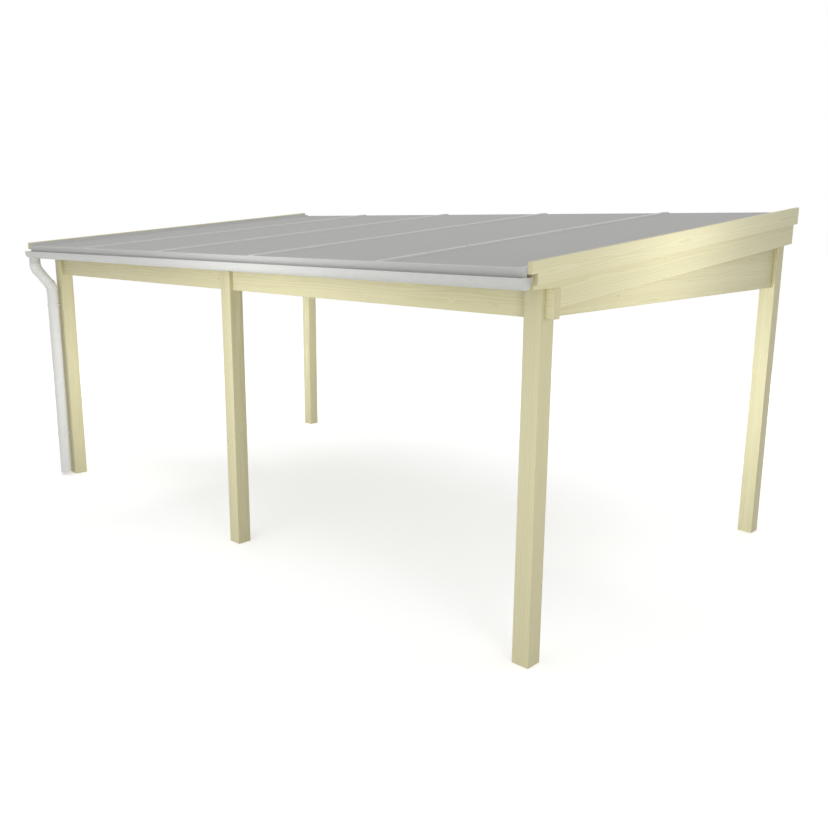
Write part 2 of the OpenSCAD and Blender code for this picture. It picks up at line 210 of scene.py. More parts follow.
@dataclass(frozen=True)
class PlanedSpruce:
    """Spruce, planed and untreated, in boards or glued lamellas.

    The eye gets growth rings round a pith in each lamella, which are lines along the faces and arcs on the
    darker sawn ends, thin glue lines, a few small knots that the rings bend round, and a silky sheen.
    The rings and fibres are finer in life, and are drawn coarse enough to show. A share is the most that a
    tone takes of the colour.
    """

    run: Run
    early: str = "#DFDAB5"
    late: str = "#CBC398"
    knot: str = "#B0956A"
    glue: str = "#BDB58E"
    sawn: str = "#BDB185"
    ring_mm: float = 9.0
    ring_share: float = 0.42
    late_from: float = 0.25
    late_to: float = 0.9
    pith_mm: float = 120.0
    wander_mm: float = 26.0
    wander_each_m: float = 0.8
    wobble_mm: float = 3.0
    wobble_each_mm: float = 30.0
    wobble_long: float = 14.0
    fibre_mm: float = 2.5
    fibre_long: float = 60.0
    fibre_from: float = 0.35
    fibre_to: float = 0.75
    fibre_share: float = 0.18
    board_share: float = 0.24
    knot_mm: float = 11.0
    knot_apart_mm: float = 210.0
    knot_core: float = 0.45
    knot_pull: float = 4.0
    knot_share: float = 0.6
    glue_mm: float = 0.8
    glue_core: float = 0.3
    glue_share: float = 0.35
    sawn_from: float = 0.6
    sawn_to: float = 0.9
    sawn_share: float = 0.4
    timber_step: float = 31.7
    lamella_step: float = 0.37
    skin: Skin = Skin((0.42, 0.56), relief_mm=0.3, relief_share=0.25, ior=1.5)

    def spot(self, tree: Tree) -> LamellaSpot:
        """Adds the nodes that find a point's lamella and its place in it.

        Args:
            tree: The node tree.

        Returns:
            The place and what the lamella draws.
        """
        place = add(tree, "ShaderNodeAttribute", attribute_name=GRAIN_PLACE).outputs["Vector"]
        along, across, height = add(tree, "ShaderNodeSeparateXYZ", {0: place}).outputs
        facts = add(tree, "ShaderNodeAttribute", attribute_name=TIMBER_FACTS).outputs["Vector"]
        number, thickness, _ = add(tree, "ShaderNodeSeparateXYZ", {0: facts}).outputs
        layer = add(tree, "ShaderNodeMath", {0: height, 1: thickness}, operation="DIVIDE").outputs[0]
        count = add(tree, "ShaderNodeMath", {0: layer}, operation="FLOOR").outputs[0]
        seed = add(tree, "ShaderNodeMath", {
            0: number, 1: self.timber_step, 2: count,
        }, operation="MULTIPLY_ADD").outputs[0]
        draw = add(tree, "ShaderNodeTexWhiteNoise", {"W": seed}, noise_dimensions="1D").outputs["Color"]
        draws = tuple(add(tree, "ShaderNodeSeparateXYZ", {0: draw}).outputs)
        within = add(tree, "ShaderNodeMath", {0: layer}, operation="FRACT").outputs[0]
        share_up = add(tree, "ShaderNodeMath", {0: within, 1: 0.5}, operation="SUBTRACT").outputs[0]
        up = add(tree, "ShaderNodeMath", {0: share_up, 1: thickness}, operation="MULTIPLY").outputs[0]
        aside = add(tree, "ShaderNodeMath", {
            0: seed, 1: self.lamella_step, 2: across,
        }, operation="MULTIPLY_ADD").outputs[0]
        strewn = add(tree, "ShaderNodeCombineXYZ", {0: along, 1: aside, 2: up}).outputs[0]
        return LamellaSpot(along, across, up, share_up, thickness, seed, draws, strewn)

    def knots(self, tree: Tree, spot: LamellaSpot) -> tuple[Socket, Socket]:
        """Adds knots, where a face cuts close to the middle of a scattered cell.

        Args:
            tree: The node tree.
            spot: The point's place.

        Returns:
            The knots' share of the colour, and how far the rings bend out round them.
        """
        cells = add(tree, "ShaderNodeTexVoronoi", {
            "Vector": spot.strewn, "Scale": 1 / (self.knot_apart_mm * MM),
        }, feature="F1").outputs["Distance"]
        size = self.knot_mm / self.knot_apart_mm
        share = add(tree, "ShaderNodeMapRange", {
            "Value": cells, "From Min": size * self.knot_core, "From Max": size,
            "To Min": self.knot_share, "To Max": 0.0,
        }, interpolation_type="SMOOTHSTEP").outputs[0]
        bend = add(tree, "ShaderNodeMapRange", {
            "Value": cells, "From Max": size * self.knot_pull, "To Min": self.ring_mm * MM, "To Max": 0.0,
        }, interpolation_type="SMOOTHSTEP").outputs[0]
        return share, bend

    def rings(self, tree: Tree, spot: LamellaSpot, bend: Socket) -> Socket:
        """Adds growth rings by the distance from the pith, which wanders along the timber.

        Args:
            tree: The node tree.
            spot: The point's place.
            bend: How far a knot bends the rings out.

        Returns:
            The late wood's share of the colour.
        """
        wander_at = add(tree, "ShaderNodeCombineXYZ", {
            0: spot.along, 1: spot.seed, 2: spot.draws[1],
        }).outputs[0]
        wander = add(tree, "ShaderNodeTexNoise", {
            "Vector": wander_at, "Scale": 1 / self.wander_each_m, "Detail": 1.0,
        }).outputs["Fac"]
        wobble_at = add(tree, "ShaderNodeVectorMath", {
            0: spot.strewn, 1: (1 / self.wobble_long, 1.0, 1.0),
        }, operation="MULTIPLY").outputs[0]
        wobble = add(tree, "ShaderNodeTexNoise", {
            "Vector": wobble_at, "Scale": 1 / (self.wobble_each_mm * MM), "Detail": 2.0,
        }).outputs["Fac"]
        offsets = []
        for draw, place in ((spot.draws[0], spot.across), (spot.draws[1], spot.up)):
            pith = add(tree, "ShaderNodeMapRange", {
                "Value": draw, "To Min": -self.pith_mm * MM / 2, "To Max": self.pith_mm * MM / 2,
            }).outputs[0]
            offsets.append(add(tree, "ShaderNodeMath", {0: place, 1: pith}, operation="SUBTRACT").outputs[0])
        out = add(tree, "ShaderNodeCombineXYZ", {1: offsets[0], 2: offsets[1]}).outputs[0]
        radius = add(tree, "ShaderNodeVectorMath", {0: out}, operation="LENGTH").outputs["Value"]
        for noise, width in ((wander, self.wander_mm), (wobble, self.wobble_mm)):
            radius = add(tree, "ShaderNodeMath", {
                0: noise, 1: width * MM, 2: radius,
            }, operation="MULTIPLY_ADD").outputs[0]
        bent = add(tree, "ShaderNodeMath", {0: radius, 1: bend}, operation="ADD").outputs[0]
        years = add(tree, "ShaderNodeMath", {0: bent, 1: self.ring_mm * MM}, operation="DIVIDE").outputs[0]
        season = add(tree, "ShaderNodeMath", {0: years}, operation="FRACT").outputs[0]
        darkening = add(tree, "ShaderNodeMapRange", {
            "Value": season, "From Min": self.late_from, "From Max": self.late_to, "To Max": self.ring_share,
        }, interpolation_type="SMOOTHSTEP").outputs[0]
        winter = add(tree, "ShaderNodeMapRange", {
            "Value": season, "From Min": self.late_to, "To Min": 1.0, "To Max": 0.0,
        }, interpolation_type="SMOOTHSTEP").outputs[0]
        return add(tree, "ShaderNodeMath", {0: darkening, 1: winter}, operation="MULTIPLY").outputs[0]

    def fibres(self, tree: Tree, spot: LamellaSpot) -> Socket:
        """Adds fine fibres along the grain.

        Args:
            tree: The node tree.
            spot: The point's place.

        Returns:
            The fibres, from 0 to 1.
        """
        drawn = add(tree, "ShaderNodeVectorMath", {
            0: spot.strewn, 1: (1 / self.fibre_long, 1.0, 1.0),
        }, operation="MULTIPLY").outputs[0]
        return add(tree, "ShaderNodeTexNoise", {
            "Vector": drawn, "Scale": 1 / (self.fibre_mm * MM), "Detail": 2.0,
        }).outputs["Fac"]

    def glue_lines(self, tree: Tree, spot: LamellaSpot) -> Socket:
        """Adds a thin glue line where two lamellas meet.

        Args:
            tree: The node tree.
            spot: The point's place.

        Returns:
            The glue's share of the colour.
        """
        from_middle = add(tree, "ShaderNodeMath", {0: spot.share_up}, operation="ABSOLUTE").outputs[0]
        to_joint = add(tree, "ShaderNodeMath", {0: 0.5, 1: from_middle}, operation="SUBTRACT").outputs[0]
        distance = add(tree, "ShaderNodeMath", {
            0: to_joint, 1: spot.thickness,
        }, operation="MULTIPLY").outputs[0]
        return add(tree, "ShaderNodeMapRange", {
            "Value": distance, "From Min": self.glue_core * self.glue_mm * MM, "From Max": self.glue_mm * MM,
            "To Min": self.glue_share, "To Max": 0.0,
        }, interpolation_type="SMOOTHSTEP").outputs[0]

    def sawn_ends(self, tree: Tree) -> Socket:
        """Adds the darker tone of the faces that cut across the grain.

        Args:
            tree: The node tree.

        Returns:
            The sawn wood's share of the colour.
        """
        grain = tuple(self.run.matrix().transposed() @ Vector((1.0, 0.0, 0.0)))
        normal = add(tree, "ShaderNodeNewGeometry").outputs["Normal"]
        facing = add(tree, "ShaderNodeVectorMath", {
            0: normal, 1: grain,
        }, operation="DOT_PRODUCT").outputs["Value"]
        across = add(tree, "ShaderNodeMath", {0: facing}, operation="ABSOLUTE").outputs[0]
        return add(tree, "ShaderNodeMapRange", {
            "Value": across, "From Min": self.sawn_from, "From Max": self.sawn_to, "To Max": self.sawn_share,
        }, interpolation_type="SMOOTHSTEP").outputs[0]

    @cache
    def material(self) -> Material:
        """Makes the material for this grain direction.

        Returns:
            The material.
        """
        material, tree = blank_material(f"planed_spruce_{self.run.name.lower()}")
        spot = self.spot(tree)
        knots, bend = self.knots(tree, spot)
        rings = self.rings(tree, spot, bend)
        fibres = self.fibres(tree, spot)
        fine = add(tree, "ShaderNodeMapRange", {
            "Value": fibres, "From Min": self.fibre_from, "From Max": self.fibre_to,
            "To Max": self.fibre_share,
        }).outputs[0]
        board = add(tree, "ShaderNodeMath", {
            0: spot.draws[2], 1: self.board_share,
        }, operation="MULTIPLY").outputs[0]
        shade = rings
        for share in (fine, board):
            shade = add(tree, "ShaderNodeMath", {0: shade, 1: share}, operation="ADD").outputs[0]
        colour = linear(self.early)
        layers = (
            (shade, self.late), (self.glue_lines(tree, spot), self.glue),
            (self.sawn_ends(tree), self.sawn), (knots, self.knot),
        )
        for share, tone in layers:
            colour = add(tree, "ShaderNodeMix", {
                SHARE: share, FIRST: colour, SECOND: linear(tone),
            }, data_type="RGBA").outputs[MIXED]
        height = add(tree, "ShaderNodeMath", {0: fibres, 1: rings}, operation="ADD").outputs[0]
        self.skin.lay(tree, colour, fibres, height)
        return material


@dataclass(frozen=True)
class OpalMultiwall:
    """Opal grey polycarbonate sheet, extruded with walls inside it.

    The eye gets a flat soft grey with faint lines up the roof, one over each inner wall. The skin is
    matt, so the sheen is kept well under that of clear polycarbonate.
    """

    base: str = "#AFAFAD"
    over_wall: str = "#B7B7B5"
    wall_mm: float = 25.0
    line_mm: float = 3.0
    cloud_mm: float = 300.0
    cloud_from: float = 0.3
    cloud_to: float = 0.7
    cloud_share: float = 0.015
    skin: Skin = Skin((0.55, 0.7), relief_mm=0.2, relief_share=0.15, ior=1.58, specular=0.06)

    @cache
    def material(self) -> Material:
        """Makes the sheet's material.

        Returns:
            The material.
        """
        material, tree = blank_material("opal_multiwall_polycarbonate")
        place = add(tree, "ShaderNodeTexCoord").outputs["Object"]
        side = add(tree, "ShaderNodeSeparateXYZ", {0: place}).outputs["X"]
        cell = add(tree, "ShaderNodeMath", {0: side, 1: self.wall_mm * MM}, operation="DIVIDE").outputs[0]
        within = add(tree, "ShaderNodeMath", {0: cell}, operation="FRACT").outputs[0]
        offset = add(tree, "ShaderNodeMath", {0: within, 1: 0.5}, operation="SUBTRACT").outputs[0]
        away = add(tree, "ShaderNodeMath", {0: offset}, operation="ABSOLUTE").outputs[0]
        half_line = 0.5 * self.line_mm / self.wall_mm
        line_share = add(tree, "ShaderNodeMapRange", {
            "Value": away, "From Min": half_line, "From Max": 2 * half_line, "To Min": 1.0, "To Max": 0.0,
        }, interpolation_type="SMOOTHSTEP").outputs[0]
        ribbed = add(tree, "ShaderNodeMix", {
            SHARE: line_share, FIRST: linear(self.base), SECOND: linear(self.over_wall),
        }, data_type="RGBA").outputs[MIXED]
        clouds = add(tree, "ShaderNodeTexNoise", {
            "Vector": place, "Scale": 1 / (self.cloud_mm * MM), "Detail": 3.0,
        }).outputs["Fac"]
        cloud_value = add(tree, "ShaderNodeMapRange", {
            "Value": clouds, "From Min": self.cloud_from, "From Max": self.cloud_to,
            "To Min": 1 - self.cloud_share, "To Max": 1 + self.cloud_share,
        }).outputs[0]
        colour = add(tree, "ShaderNodeHueSaturation", {"Color": ribbed, "Value": cloud_value}).outputs[0]
        self.skin.lay(tree, colour, clouds, line_share)
        return material


@dataclass(frozen=True)
class CoatedAluminium:
    """Extruded aluminium under a light grey powder coat.

    The eye gets a matt, even grey with a faint orange peel and faint tone along the extrusion. Both are
    finer in life, and are drawn coarse enough to show.
    """

    name: str
    base: str
    streak: str
    line_mm: float = 8.0
    line_long: float = 80.0
    peel_mm: float = 3.0
    skin: Skin = Skin((0.45, 0.6), relief_mm=0.1, relief_share=0.1, ior=1.5, specular=0.3)

    @cache
    def material(self) -> Material:
        """Makes the coat's material.

        Returns:
            The material.
        """
        material, tree = blank_material(self.name)
        place = add(tree, "ShaderNodeTexCoord").outputs["Object"]
        drawn = add(tree, "ShaderNodeVectorMath", {
            0: place, 1: (1.0, 1 / self.line_long, 1.0),
        }, operation="MULTIPLY").outputs[0]
        lines = add(tree, "ShaderNodeTexNoise", {
            "Vector": drawn, "Scale": 1 / (self.line_mm * MM), "Detail": 2.0,
        }).outputs["Fac"]
        colour = add(tree, "ShaderNodeMix", {
            SHARE: lines, FIRST: linear(self.base), SECOND: linear(self.streak),
        }, data_type="RGBA").outputs[MIXED]
        peel = add(tree, "ShaderNodeTexNoise", {
            "Vector": place, "Scale": 1 / (self.peel_mm * MM), "Detail": 1.0,
        }).outputs["Fac"]
        self.skin.lay(tree, colour, peel, peel)
        return material


@dataclass(frozen=True)
class ExtrudedPvc:
    """Rigid PVC, extruded or moulded, light grey with a satin skin.

    The eye gets a clean plastic with a soft highlight, a faint flow pattern and a little dust.
    """

    name: str
    base: str
    dusty: str
    flow_mm: float = 40.0
    dust_from: float = 0.45
    dust_to: float = 0.8
    dust_share: float = 0.5
    ripple_mm: float = 6.0
    skin: Skin = Skin((0.3, 0.48), relief_mm=0.2, relief_share=0.08, ior=1.53)

    @cache
    def material(self) -> Material:
        """Makes the plastic's material.

        Returns:
            The material.
        """
        material, tree = blank_material(self.name)
        place = add(tree, "ShaderNodeTexCoord").outputs["Object"]
        flow = add(tree, "ShaderNodeTexNoise", {
            "Vector": place, "Scale": 1 / (self.flow_mm * MM), "Detail": 4.0, "Roughness": 0.6,
        }).outputs["Fac"]
        dust = add(tree, "ShaderNodeMapRange", {
            "Value": flow, "From Min": self.dust_from, "From Max": self.dust_to, "To Max": self.dust_share,
        }).outputs[0]
        colour = add(tree, "ShaderNodeMix", {
            SHARE: dust, FIRST: linear(self.base), SECOND: linear(self.dusty),
        }, data_type="RGBA").outputs[MIXED]
        ripples = add(tree, "ShaderNodeTexNoise", {
            "Vector": place, "Scale": 1 / (self.ripple_mm * MM), "Detail": 1.0,
        }).outputs["Fac"]
        self.skin.lay(tree, colour, flow, ripples)
        return material


@dataclass(frozen=True)
class Clouded:
    """Finish of two close tones in soft clouds, for small pieces."""

    name: str
    base: str
    cloudy: str
    cloud_mm: float
    detail: float
    skin: Skin

    @cache
    def material(self) -> Material:
        """Makes the finish's material.

        Returns:
            The material.
        """
        material, tree = blank_material(self.name)
        place = add(tree, "ShaderNodeTexCoord").outputs["Object"]
        clouds = add(tree, "ShaderNodeTexNoise", {
            "Vector": place, "Scale": 1 / (self.cloud_mm * MM), "Detail": self.detail,
        }).outputs["Fac"]
        colour = add(tree, "ShaderNodeMix", {
            SHARE: clouds, FIRST: linear(self.base), SECOND: linear(self.cloudy),
        }, data_type="RGBA").outputs[MIXED]
        self.skin.lay(tree, colour, clouds)
        return material


@dataclass(frozen=True)
class ZincSteel(Clouded):
    """Zinc-plated steel of the screws: the eye gets a pale metal, lightly clouded and half dull."""

    name: str = "zinc_plated_steel"
    base: str = "#C2C4C5"
    cloudy: str = "#A9ACAE"
    cloud_mm: float = 3.0
    detail: float = 2.0
    skin: Skin = Skin((0.3, 0.5), metallic=1.0)


@dataclass(frozen=True)
class GreyRubber(Clouded):
    """Extruded grey rubber of the gaskets: the eye gets a dull grey with a chalky bloom."""

    name: str = "extruded_grey_rubber"
    base: str = "#C4C4C1"
    cloudy: str = "#CDCDCA"
    cloud_mm: float = 25.0
    detail: float = 3.0
    skin: Skin = Skin((0.65, 0.85), ior=1.5)


def deselect() -> None:
    """Leaves edit mode, and leaves nothing selected."""
    if bpy.context.object and bpy.context.object.mode != "OBJECT":
        bpy.ops.object.mode_set(mode="OBJECT")
    bpy.ops.object.select_all(action="DESELECT")


def take(piece: Piece) -> Piece:
    """Makes a piece the only selected and active one.

    Args:
        piece: The piece.

    Returns:
        The same piece.
    """
    deselect()
    piece.select_set(True)
    bpy.context.view_layer.objects.active = piece
    return piece


def clear_picks(piece: Piece, kind: str) -> None:
    """Makes a piece the active one, with nothing of its mesh selected.

    Args:
        piece: The piece.
        kind: What is selected next, FACE or EDGE.
    """
    take(piece)
    bpy.ops.object.mode_set(mode="EDIT")
    bpy.ops.mesh.select_mode(type=kind)
    bpy.ops.mesh.select_all(action="DESELECT")
    bpy.ops.object.mode_set(mode="OBJECT")


def pick_faces(piece: Piece, wanted: Callable[[Vector, Vector], bool]) -> None:
    """Enters edit mode with only the faces selected that a test wants.

    Args:
        piece: The piece.
        wanted: Test of a face's middle and normal.
    """
    clear_picks(piece, "FACE")
    for face in piece.data.polygons:
        face.select = wanted(face.center, face.normal)
    bpy.ops.object.mode_set(mode="EDIT")


def pick_edges(piece: Piece, wanted: Callable[[Vector, Vector], bool]) -> None:
    """Enters edit mode with only the edges selected that a test wants.

    Args:
        piece: The piece.
        wanted: Test of an edge's two ends.
    """
    clear_picks(piece, "EDGE")
    points = piece.data.vertices
    for edge in piece.data.edges:
        edge.select = wanted(*(points[corner].co for corner in edge.vertices))
    bpy.ops.object.mode_set(mode="EDIT")


def merged_copy(node: str, suffix: str, flatten: bool) -> Piece:
    """Copies a CAD node's mesh to a new piece and merges its loose triangles.

    Args:
        node: The CAD node.
        suffix: End of the new piece's name.
        flatten: Whether flat faces are made whole again.

    Returns:
        The new piece.
    """
    piece = bpy.data.objects.new(f"{node}_{suffix}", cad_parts[node].data.copy())
    bpy.context.scene.collection.objects.link(piece)
    piece.data.materials.clear()
    take(piece)
    bpy.ops.mesh.customdata_custom_splitnormals_clear()
    bpy.ops.object.mode_set(mode="EDIT")
    bpy.ops.mesh.select_all(action="SELECT")
    bpy.ops.mesh.remove_doubles(threshold=MERGE)
    if flatten:
        bpy.ops.mesh.dissolve_limited(angle_limit=FLAT)
    bpy.ops.object.mode_set(mode="OBJECT")
    return piece


def smooth(piece: Piece) -> None:
    """Shades a piece smooth over its round faces."""
    take(piece)
    bpy.ops.object.shade_smooth_by_angle(angle=ROUND)


def ease(piece: Piece, arris: float, segments: int) -> None:
    """Eases a piece's sharp edges.

    Args:
        piece: The piece.
        arris: Width of the eased edge.
        segments: Steps across it.
    """
    take(piece)
    bpy.ops.object.modifier_add(type="BEVEL")
    bevel = piece.modifiers[-1]
    bevel.width = arris
    bevel.segments = segments
    bevel.limit_method = "ANGLE"
    bevel.angle_limit = SHARP
    bpy.ops.object.modifier_apply(modifier=bevel.name)
    smooth(piece)


def joined(name: str, parts: list[Piece]) -> Piece:
    """Joins parts to one piece and shades it smooth over its round faces.

    Args:
        name: The piece's name.
        parts: The parts.

    Returns:
        The piece.
    """
    piece = take(parts[0])
    if len(parts) > 1:
        for part in parts:
            part.select_set(True)
        bpy.ops.object.join()
    piece.name = name
    smooth(piece)
    return piece


def dress(pieces: Iterable[Piece], material: Material) -> None:
    """Gives pieces one material.

    Args:
        pieces: The pieces.
        material: What they are made of.
    """
    for piece in pieces:
        piece.data.materials.clear()
        piece.data.materials.append(material)


def seat(piece: Piece, slot: Slot, *nodes: str) -> None:
    """Puts a new piece on the body and hides the CAD nodes that it stands for.

    Args:
        piece: The piece.
        slot: Not used.
        nodes: CAD nodes that the piece replaces, if any.
    """
    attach(piece, BODY)
    if nodes:
        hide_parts(*nodes)
    LOG.info("%s: %d faces", piece.name, len(piece.data.polygons))


@dataclass(frozen=True)
class RoofPlane:
    """Plane of the rafter tops, from the front faces of the posts."""

    pitch_deg: float = ROOF_PITCH_DEG

    def matrix(self) -> Matrix:
        """Turns x, distance along the slope and height over it to the row frame.

        Returns:
            The matrix.
        """
        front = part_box("post_front_left")[0].y
        back_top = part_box("rafter_edge_right")[1]
        turn = Matrix.Rotation(radians(self.pitch_deg), 4, "X")
        along = (back_top.y - front) / turn[1][1]
        top = back_top.z - along * turn[2][1]
        return Matrix.Translation((0.0, front, top)) @ turn


@dataclass(frozen=True)
class ScrewHead:
    """Screw head on its flange, modelled once at the origin with its axis up."""

    flange_r: float
    flange_t: float
    head_r: float
    head_h: float
    socket_r: float
    socket_d: float
    sides: int = 12
    flange_slope: float = 0.15
    crown: float = 0.3

    def model(self) -> Piece:
        """Models the head: flange, crowned head and socket.

        Returns:
            The model for the copies.
        """
        deselect()
        bpy.ops.mesh.primitive_cylinder_add(
            vertices=self.sides, radius=self.flange_r, depth=self.flange_t,
            location=(0, 0, self.flange_t / 2),
        )
        piece = bpy.context.object
        bpy.ops.object.transform_apply()
        pick_faces(piece, lambda middle, normal: normal.z > TOP_FACE)
        bpy.ops.mesh.inset(thickness=self.flange_r - self.head_r, depth=self.flange_slope * self.flange_t)
        below_crown = 1 - self.crown
        bpy.ops.mesh.extrude_region_move(TRANSFORM_OT_translate={"value": (0, 0, below_crown * self.head_h)})
        bpy.ops.mesh.inset(thickness=self.crown * self.head_r, depth=self.crown * self.head_h)
        bpy.ops.mesh.inset(thickness=below_crown * self.head_r - self.socket_r, depth=0)
        bpy.ops.mesh.extrude_region_move(TRANSFORM_OT_translate={"value": (0, 0, -self.socket_d)})
        deselect()
        return piece

    def drive(self, name: str, places: Iterable[Matrix]) -> Piece:
        """Copies the head to each place and joins the copies.

        Args:
            name: The joined piece's name.
            places: Where each head's foot and axis go.

        Returns:
            The joined piece.
        """
        model = self.model()
        copies = []
        for place in places:
            mesh = model.data.copy()
            mesh.transform(place)
            copy = bpy.data.objects.new(name, mesh)
            bpy.context.scene.collection.objects.link(copy)
            copies.append(copy)
        bpy.data.objects.remove(model)
        return joined(name, copies)


@dataclass
class Timbers:
    """Timbers of one kind: planed copies of their solids, with eased arrises."""

    nodes: Iterable[str]
    run: Run
    lamella: float = 40 * MM
    first_number: int = 0
    arris: float = 2.5 * MM
    segments: int = 2
    pieces: list[Piece] = field(default_factory=list)

    def mark_grain(self, piece: Piece, number: int) -> None:
        """Writes where each point lies in its timber, for the spruce.

        Args:
            piece: The timber.
            number: Its number, from which its lamellas draw their tone and pith.
        """
        turn = self.run.matrix()
        places = [turn @ point.co for point in piece.data.vertices]
        low = Vector(min(place[axis] for place in places) for axis in range(3))
        high = Vector(max(place[axis] for place in places) for axis in range(3))
        depth = high.z - low.z
        layers = max(1, round(depth / self.lamella))
        middle = (low + high) / 2
        # The outermost faces are kept a little inside their lamellas
        inside = 0.999
        within = [place - middle for place in places]
        rows = [(row.x, row.y, row.z * inside + depth / 2) for row in within]
        facts = (float(number), depth / layers, 0.0)
        for name, values in ((GRAIN_PLACE, rows), (TIMBER_FACTS, [facts] * len(rows))):
            attribute = piece.data.attributes.new(name, "FLOAT_VECTOR", "POINT")
            attribute.data.foreach_set("vector", [value for row in values for value in row])

    def build(self) -> None:
        """Copies each solid, makes its faces whole and eases its edges."""
        for count, node in enumerate(self.nodes):
            piece = merged_copy(node, "planed", flatten=True)
            ease(piece, self.arris, self.segments)
            self.mark_grain(piece, self.first_number + count)
            seat(piece, Slot.TIMBER, node)
            self.pieces.append(piece)

    def dress(self) -> None:
        """Gives each timber spruce with the grain along it."""
        dress(self.pieces, PlanedSpruce(self.run).material())


@dataclass
class PostScrews:
    """Screws through the inner cheeks of the slotted post heads."""

    head: ScrewHead = ScrewHead(
        flange_r=6 * MM, flange_t=1.5 * MM, head_r=4.5 * MM, head_h=1.5 * MM,
        socket_r=2.2 * MM, socket_d=1.5 * MM, sides=16,
    )
    inset: float = 15 * MM
    low: float = 45 * MM
    high: float = 120 * MM
    pieces: list[Piece] = field(default_factory=list)

    def places(self, node: str, beam: str, facing: float) -> list[Matrix]:
        """Finds the screws of one post.

        Args:
            node: The post.
            beam: The beam in its slot.
            facing: 1 where the cheek faces the back, -1 where it faces the front.

        Returns:
            Four places with their axes out of the cheek.
        """
        low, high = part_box(node)
        seat_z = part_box(beam)[0].z
        y = high.y if facing > 0 else low.y
        turn = Matrix.Rotation(-facing * pi / 2, 4, "X")
        return [
            Matrix.Translation((x, y, seat_z + up)) @ turn
            for x in (low.x + self.inset, high.x - self.inset)
            for up in (self.low, self.high)
        ]

    def build(self) -> None:
        """Drives the screws of the front posts from behind and of the back posts from the front."""
        front = [self.places(f"post_front_{side}", "beam_front", 1.0) for side in FRONT_POSTS]
        back = [self.places(f"post_back_{side}", "beam_back", -1.0) for side in SIDES]
        for name, groups in (("front_post_screws", front), ("back_post_screws", back)):
            piece = self.head.drive(name, [place for group in groups for place in group])
            seat(piece, Slot.BAR)
            self.pieces.append(piece)

    def dress(self) -> None:
        """Gives the screws zinc."""
        dress(self.pieces, ZincSteel().material())


@dataclass
class RoofSheets:
    """Roof sheets, which stay as their solids."""

    bays: tuple[str, ...] = ("far_left", "left", "middle", "right", "far_right")

    def dress(self) -> None:
        """Gives each sheet opal polycarbonate."""
        sheets = [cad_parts[f"roof_sheet_{bay}"] for bay in self.bays]
        dress(sheets, OpalMultiwall().material())
        for sheet in sheets:
            LOG.info("%s: opal sheet", sheet.name)


